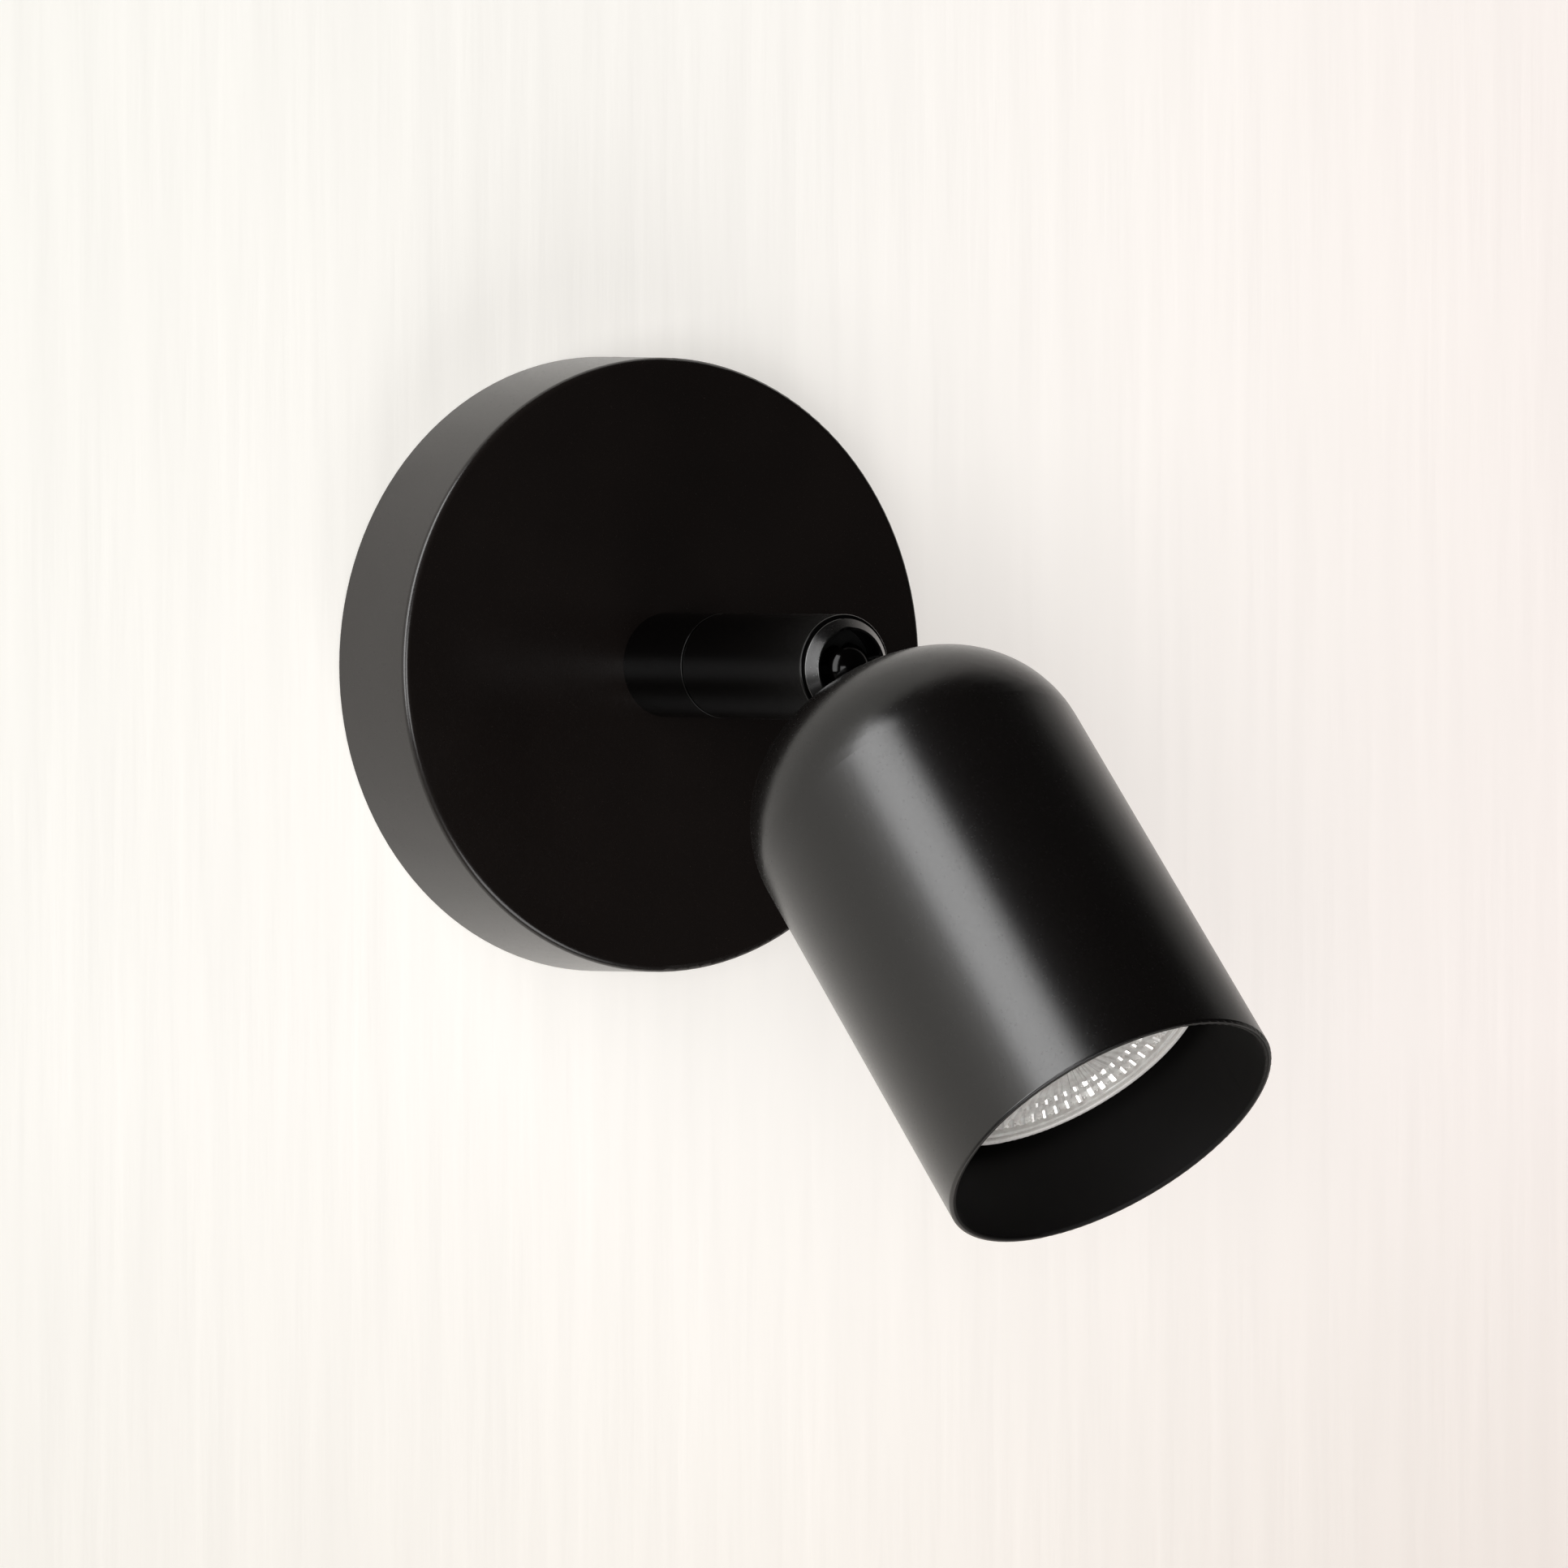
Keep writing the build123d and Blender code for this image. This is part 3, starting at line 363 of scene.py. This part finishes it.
def moulded(name, colour, roughness, grain=0.4 * MM):
    """Moulded plastic or fired ceramic: a faint texture and tone."""
    shader = Shader(name)
    shader.tone(shader.noise(6 * MM), colour, dark=0.95, light=1.03)
    fine = shader.noise(grain)
    shader.gloss(fine, roughness, less=0.05, more=0.06)
    shader.bump(fine, height=0.015 * MM, strength=0.3)
    return shader


def lead_insulation():
    """Silicone insulation: blue on the left, green in the middle, brown on the right."""
    shader = Shader("lead_insulation")
    blue, green, brown = (0.02, 0.09, 0.36), (0.12, 0.3, 0.03), (0.13, 0.045, 0.018)
    side = shader.spread(shader.along(RIGHT), -4 * MM, 4 * MM)
    ramp = shader.ramp(side, (0.0, blue), (0.4, green), (0.6, brown))
    ramp.node.color_ramp.interpolation = "CONSTANT"
    shader.set(Base_Color=ramp, Roughness=0.42)
    shader.bump(shader.noise(0.3 * MM, detail=1), height=0.01 * MM, strength=0.3)
    return shader


def phosphor():
    """Yellow powder in clear resin over the chips."""
    shader = Shader("led_phosphor")
    grains = shader.noise(0.25 * MM)
    shader.set(Base_Color=shader.between(grains, (0.78, 0.55, 0.1), (0.9, 0.7, 0.2)), Roughness=0.5)
    return shader


def lens_plastic(tint):
    """Clear optical plastic over a bright reflector: pale, glossy, a little see-through."""
    shader = Shader("lens_plastic")
    shader.set(IOR=1.49, Roughness=0.1, Coat_Weight=1.0, Coat_Roughness=0.04, Transmission_Weight=0.15)
    shader.tone(shader.noise(1.6 * MM, detail=3), tint, dark=0.82, light=1.12)
    return shader


def prism_plastic(tint):
    """The same plastic where its prisms throw the light back."""
    shader = Shader("prism_plastic")
    shader.set(Metallic=0.4, IOR=1.49, Coat_Weight=1.0, Coat_Roughness=0.04)
    fine = shader.noise(0.5 * MM, detail=1)
    shader.tone(fine, tint, dark=0.95, light=1.15)
    shader.gloss(fine, 0.2, less=0.04, more=0.04)
    return shader


def circuit_board(name, mask, pad):
    """Solder mask with lighter copper areas under it."""
    shader = Shader(name)
    areas = shader.noise(2.4 * MM, detail=0)
    shader.set(Base_Color=shader.ramp(areas, (0.46, mask), (0.52, pad)), Roughness=0.3)
    shader.bump(areas, height=0.02 * MM, strength=0.3)
    return shader


def wall_paint(colour, strength):
    """Brushed paint of the wall and floor. The wall glows with painted light, uneven across and down it,
    and weaker in gloss to the right. It is clear from behind, so the light's back can be seen.
    """
    shader = Shader("wall_paint")
    strokes = shader.noise(5 * MM, detail=5, stretch=(1, 1, 0.06))
    painted = shader.between(strokes, tinted(colour, 0.985), tinted(colour, 1.015), edge=0.35)
    above = shader.spread(shader.along(UP), *floor_fade)
    shader.set(Base_Color=shader.mixed(above, tinted(colour, floor_share), painted), Roughness=0.85,
               Specular_IOR_Level=0.2)
    shader.bump(strokes, height=0.35 * MM, strength=0.35)

    nodes = shader.tree.nodes
    path = nodes.new("ShaderNodeLightPath").outputs
    # painted light: the wall's glow as the camera, gloss and glass see it
    mirrored = shader.maths("MULTIPLY", path["Is Glossy Ray"], shader.gradient(RIGHT, *painted_reflection_fade))
    seen = shader.maths("MAXIMUM", path["Is Camera Ray"], mirrored)
    seen = shader.maths("MAXIMUM", seen, path["Is Transmission Ray"])
    # painted light and shade: the glow is stronger or weaker across and down the wall
    tone = shader.vector_maths(
        "MULTIPLY", shader.gradient(RIGHT, *painted_light_right), shader.gradient(-UP, *painted_shade_down))
    brushed = shader.vector_maths("MULTIPLY", tone, shader.between(strokes, 0.975, 1.0, edge=0.35))
    glow = nodes.new("ShaderNodeEmission")
    shader.feed(brushed, glow.inputs["Color"])
    lift = shader.maths("MULTIPLY", seen, strength)
    shader.feed(shader.maths("MULTIPLY", lift, above), glow.inputs["Strength"])

    front = nodes.new("ShaderNodeAddShader")
    shader.feed(shader.surface.outputs[0], front.inputs[0])
    shader.feed(glow.outputs[0], front.inputs[1])
    behind = nodes.new("ShaderNodeNewGeometry").outputs["Backfacing"]
    clear = nodes.new("ShaderNodeBsdfTransparent")
    sided = nodes.new("ShaderNodeMixShader")
    for source, target in zip((behind, front.outputs[0], clear.outputs[0]), sided.inputs):
        shader.feed(source, target)
    shader.feed(sided.outputs[0], shader.output.inputs["Surface"])
    return shader


def dress(shader, *nodes):
    """Gives solids their material."""
    for node in nodes:
        for slot in frame["nodes"][node].material_slots:
            slot.material = shader.material


# ---- mesh helpers -----------------------------------------------------------------------------
def finished(mesh, name, shader, place, body, sharp_angle=35):
    """Object from a bmesh drawn along z, put in its place and made to ride on a body."""
    bmesh.ops.remove_doubles(mesh, verts=mesh.verts, dist=1e-7)
    bmesh.ops.recalc_face_normals(mesh, faces=mesh.faces)
    bmesh.ops.transform(mesh, matrix=place, verts=mesh.verts)
    data = bpy.data.meshes.new(name)
    for face in mesh.faces:
        face.smooth = True
    for edge in mesh.edges:
        if len(edge.link_faces) == 2 and edge.calc_face_angle() > math.radians(sharp_angle):
            edge.smooth = False
    mesh.to_mesh(data)
    mesh.free()
    data.materials.append(shader.material)
    piece = bpy.data.objects.new(name, data)
    bpy.context.scene.collection.objects.link(piece)
    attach(piece, body)
    return piece


def turns(count):
    """Angles that divide a full turn."""
    return [2 * math.pi * index / count for index in range(count)]


def spun(mesh, profile, steps):
    """Closed (radius, height) outline turned about z."""
    verts = [mesh.verts.new((radius, 0, height)) for radius, height in profile]
    edges = [mesh.edges.new(pair) for pair in zip(verts, verts[1:] + verts[:1])]
    bmesh.ops.spin(mesh, geom=verts + edges, cent=(0, 0, 0), axis=UP, angle=2 * math.pi,
                   steps=steps, use_merge=True)


def rib(mesh, inner, outer, width, low, high, angle):
    """Radial wedge with a narrow ridge: a cube drawn out, its upper edges brought together."""
    made = bmesh.ops.create_cube(mesh, size=1)["verts"]
    for vertex in made:
        along = outer if vertex.co.x > 0 else inner
        upper = vertex.co.z > 0
        side = width * along / outer * (rib_ridge if upper else 0.5)
        vertex.co = Vector((along, side if vertex.co.y > 0 else -side, high if upper else low))
    bmesh.ops.rotate(mesh, verts=made, cent=(0, 0, 0), matrix=Matrix.Rotation(angle, 3, "Z"))


def prism(mesh, inner, outer, width, low, slope, angle):
    """Radial block whose top is a shallow roof that climbs outward: its inner end drawn out."""
    eaves = low + prism_step
    half = width / 2
    section = [(-half, low), (half, low), (half, eaves), (0, eaves + prism_ridge * width), (-half, eaves)]
    near = [mesh.verts.new((inner, side, height)) for side, height in section]
    made = bmesh.ops.extrude_face_region(mesh, geom=[mesh.faces.new(near)])["geom"]
    far = [item for item in made if isinstance(item, bmesh.types.BMVert)]
    for vertex in far:
        vertex.co.x = outer
        if vertex.co.z > low + prism_step / 2:
            vertex.co.z += (outer - inner) * math.tan(slope)
    bmesh.ops.rotate(mesh, verts=near + far, cent=(0, 0, 0), matrix=Matrix.Rotation(angle, 3, "Z"))


# ---- pieces -----------------------------------------------------------------------------------
class WALLLIGHT_OT_lens(bpy.types.Operator):
    """Makes the ribbed lens of the lamp, with two rings of prisms on its floor"""
    bl_idname = "walllight.lens"
    bl_label = "Ribbed lens"

    def execute(self, context):
        settings = context.scene.walllight_lens
        radius, recess = settings.radius, lens_recess_radius
        front = lens_high - lens_low
        rear = front - settings.plate
        floor = front - settings.depth
        place = upright(pivot + lens_low * shade_axis, shade_axis, -tilt_axis)

        plate = bmesh.new()
        spun(plate, [
            (0, rear), (radius - skirt_width, rear), (radius - skirt_width, rear - skirt_depth),
            (radius, rear - skirt_depth), (radius, front - lens_chamfer),
            (radius - lens_edge_slope, front), (recess + lens_chamfer, front),
            (recess, front - lens_chamfer), (recess, floor), (0, floor),
        ], lens_steps)
        for inner, outer, share in rib_bands:
            count = round(settings.rib_count * share)
            width = rib_fill * 2 * math.pi * outer * MM / count
            for angle in turns(count):
                rib(plate, inner * MM, outer * MM, width, floor - rib_root,
                    floor + settings.rib_height, angle)
        piece = finished(plate, "ribbed_lens", lens_plastic(settings.tint), place, "lamp")

        prisms = bmesh.new()
        for inner, outer in prism_bands:
            for angle in turns(settings.prism_count):
                prism(prisms, inner * MM, outer * MM, prism_width, floor - prism_root,
                      settings.prism_slope, angle)
        finished(prisms, "prism_rings", prism_plastic(settings.tint), place, "lamp",
                 sharp_angle=8)
        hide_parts("lamp_lens")
        return {"FINISHED"}


class WALLLIGHT_OT_paint(bpy.types.Operator):
    """Finishes the painted pieces"""
    bl_idname = "walllight.paint"
    bl_label = "Powder coat"

    def execute(self, context):
        settings = context.scene.walllight_paint
        colour, rough, grain = settings.colour, settings.roughness, settings.grain
        # one coat: painted light on the canopy, painted shade on the shade
        canopy_painted_colour = tuple(channel + more for channel, more in zip(colour, canopy_painted_light))
        dress(powder_coat("satin_black", canopy_painted_colour, rough, grain), "canopy")
        shade_coat = powder_coat("satin_black_shade", tinted(colour, shade_painted_shade), rough, grain)
        dress(flat_inside(shade_coat, colour), "shade")
        black = tinted(colour, lacquer_share)
        dress(powder_coat("lacquer_black", black, rough - 0.01, grain, depth=0.3, specular=0.22),
              "canopy_screws", "arm_foot", "arm_tube")
        dress(powder_coat("lacquer_black_cup", black, rough, grain, depth=0.3, specular=0.9),
              "joint_cup")
        dress(powder_coat("lacquer_black_knuckle", black, rough - 0.12, grain, depth=0.1, specular=0.15),
              "pivot_pins", "tilt_knuckle")
        return {"FINISHED"}


class WALLLIGHT_OT_metal(bpy.types.Operator):
    """Finishes the plated and plain metal pieces"""
    bl_idname = "walllight.metal"
    bl_label = "Metal pieces"

    def execute(self, context):
        dress(plated("zinc_plate", (0.62, 0.62, 0.6), 0.34),
              "wall_bracket", "terminal_screws", "terminal_block_screw", "arm_nipple", "nipple_nut",
              "shade_washer", "lampholder_strap", "shank_nut", "lampholder_screws", "lampholder_nuts")
        dress(plated("spring_steel", (0.42, 0.42, 0.43), 0.3),
              "nipple_washer", "swivel_stop_pin", "swivel_spring_washer", "swivel_clip",
              "disc_springs", "shank_washer")
        dress(plated("machined_brass", (0.72, 0.54, 0.26), 0.27),
              "terminal_sleeves", "earth_screw", "swivel_core", "spring_seat")
        dress(plated("nickel_plate", (0.7, 0.67, 0.62), 0.2),
              "earth_tag", "shank_earth_tag", "lampholder_contacts", "lamp_pins")
        return {"FINISHED"}


class WALLLIGHT_OT_plastic(bpy.types.Operator):
    """Finishes the plastic, ceramic and electronic pieces"""
    bl_idname = "walllight.plastic"
    bl_label = "Plastic and ceramic pieces"

    def execute(self, context):
        dress(moulded("white_plastic", (0.8, 0.79, 0.75), 0.45), "terminal_block")
        dress(moulded("black_nylon", (0.008, 0.008, 0.008), 0.5),
              "cable_bush", "swivel_washer", "pressure_shoe")
        dress(moulded("steatite", (0.84, 0.81, 0.73), 0.6, grain=0.7 * MM),
              "lampholder", "lampholder_back")
        dress(moulded("lamp_housing", (0.78, 0.775, 0.76), 0.32), "lamp_base", "lamp_body")
        dress(moulded("lamp_ring", (0.84, 0.81, 0.78), 0.28), "lamp_bezel")
        dress(circuit_board("power_board", (0.03, 0.16, 0.06), (0.05, 0.24, 0.09)), "lamp_driver")
        dress(circuit_board("led_board", (0.82, 0.82, 0.8), (0.86, 0.86, 0.85)), "lamp_led_board")
        dress(phosphor(), "lamp_leds")
        dress(lead_insulation(), "canopy_leads", "earth_lead", "arm_leads", "head_leads")
        return {"FINISHED"}


def direction(azimuth, elevation):
    """Unit vector from the object; azimuth 0 is in front of the wall, -90 to the left."""
    a, e = math.radians(azimuth), math.radians(elevation)
    return Vector((math.sin(a) * math.cos(e), -math.cos(a) * math.cos(e), math.sin(e)))


def soft_light(name, azimuth, elevation, distance, width, height, power):
    """Rectangular light that faces the object."""
    light = bpy.data.lights.new(name, "AREA")
    light.shape = "RECTANGLE"
    light.size, light.size_y = width, height
    light.energy = power
    panel = bpy.data.objects.new(name, light)
    bpy.context.scene.collection.objects.link(panel)
    away = direction(azimuth, elevation)
    panel.location = light_target + distance * away
    panel.rotation_mode = "QUATERNION"
    panel.rotation_quaternion = away.to_track_quat("Z", "Y")


class WALLLIGHT_OT_stage(bpy.types.Operator):
    """Makes the wall, the floor, the lights and the camera"""
    bl_idname = "walllight.stage"
    bl_label = "Studio"

    def execute(self, context):
        settings = context.scene.walllight_studio
        self.wall_and_floor(context.scene, settings)
        soft_light("window", azimuth=-75, elevation=20, distance=2.4, width=0.98, height=3.3,
                   power=settings.window_power)
        soft_light("front_left", azimuth=-38, elevation=-4, distance=2.6, width=1.0, height=1.0,
                   power=settings.fill_power)
        soft_light("from_below", azimuth=-4, elevation=-52, distance=1.2, width=0.8, height=0.6,
                   power=settings.low_power)
        world = bpy.data.worlds.new("room")
        world.use_nodes = True
        background = world.node_tree.nodes["Background"]
        background.inputs["Color"].default_value = world_colour
        background.inputs["Strength"].default_value = settings.world
        context.scene.world = world
        self.camera(context.scene)
        context.scene.view_settings.view_transform = "Standard"
        return {"FINISHED"}

    def wall_and_floor(self, scene, settings):
        """One sheet: the wall behind the canopy, a cove and the floor."""
        mesh = bmesh.new()
        outline = [(wall_gap, stage_height), (wall_gap, floor_height + cove_size),
                   (-cove_size, floor_height), (-stage_depth, floor_height)]
        row = [mesh.verts.new((-stage_half_width, y, z)) for y, z in outline]
        edges = [mesh.edges.new(pair) for pair in zip(row, row[1:])]
        made = bmesh.ops.extrude_edge_only(mesh, edges=edges)["geom"]
        moved = [item for item in made if isinstance(item, bmesh.types.BMVert)]
        bmesh.ops.translate(mesh, verts=moved, vec=2 * stage_half_width * RIGHT)
        cove = [edge for edge in mesh.edges if len(edge.link_faces) == 2
                and abs(edge.verts[0].co.x - edge.verts[1].co.x) > stage_half_width]
        bmesh.ops.bevel(mesh, geom=cove, offset=cove_bevel, segments=cove_segments, profile=0.5,
                        affect="EDGES", material=-1)
        data = bpy.data.meshes.new("wall_and_floor")
        for face in mesh.faces:
            face.smooth = True
            if face.normal.y > 1e-6 or face.normal.z < -1e-6:
                face.normal_flip()
        mesh.to_mesh(data)
        mesh.free()
        data.materials.append(wall_paint(settings.wall_colour, settings.wall_glow).material)
        stage = bpy.data.objects.new("wall_and_floor", data)
        scene.collection.objects.link(stage)
        stage.visible_shadow = False

    def camera(self, scene):
        """Camera on the left, nearly level with the light, with a long lens."""
        view = bpy.data.cameras.new("camera")
        view.lens = camera_lens
        view.sensor_width = camera_sensor
        view.sensor_fit = "HORIZONTAL"
        view.clip_start, view.clip_end = 0.05, 20
        camera = bpy.data.objects.new("camera", view)
        scene.collection.objects.link(camera)
        back = direction(camera_azimuth, camera_elevation)
        right = direction(camera_azimuth + 90, 0)
        camera.location = camera_target + camera_distance * back
        camera.rotation_mode = "QUATERNION"
        camera.rotation_quaternion = Matrix((right, back.cross(right), back)).transposed().to_quaternion()
        scene.camera = camera


class WALLLIGHT_PT_panel(bpy.types.Panel):
    """Lists the settings and the operators"""
    bl_idname = "WALLLIGHT_PT_panel"
    bl_label = "Wall light"
    bl_space_type = "VIEW_3D"
    bl_region_type = "UI"
    bl_category = "Wall light"

    def draw(self, context):
        for group, cls in settings_classes.items():
            box = self.layout.box()
            for name in cls.__annotations__:
                box.prop(getattr(context.scene, group), name)
        for operator in operators:
            self.layout.operator(operator.bl_idname)


operators = (
    WALLLIGHT_OT_stage, WALLLIGHT_OT_paint, WALLLIGHT_OT_metal, WALLLIGHT_OT_plastic, WALLLIGHT_OT_lens,
)
settings_classes = {
    "walllight_lens": LensSettings, "walllight_paint": PaintSettings, "walllight_studio": StudioSettings,
}


def register():
    for cls in (*settings_classes.values(), *operators, WALLLIGHT_PT_panel):
        bpy.utils.register_class(cls)
    for name, cls in settings_classes.items():
        setattr(bpy.types.Scene, name, bpy.props.PointerProperty(type=cls))


def unregister():
    for name in settings_classes:
        delattr(bpy.types.Scene, name)
    for cls in reversed((*settings_classes.values(), *operators, WALLLIGHT_PT_panel)):
        bpy.utils.unregister_class(cls)


def main():
    register()
    for operator in operators:
        group, name = operator.bl_idname.split(".")
        getattr(getattr(bpy.ops, group), name)()


if __name__ == "__main__":
    main()
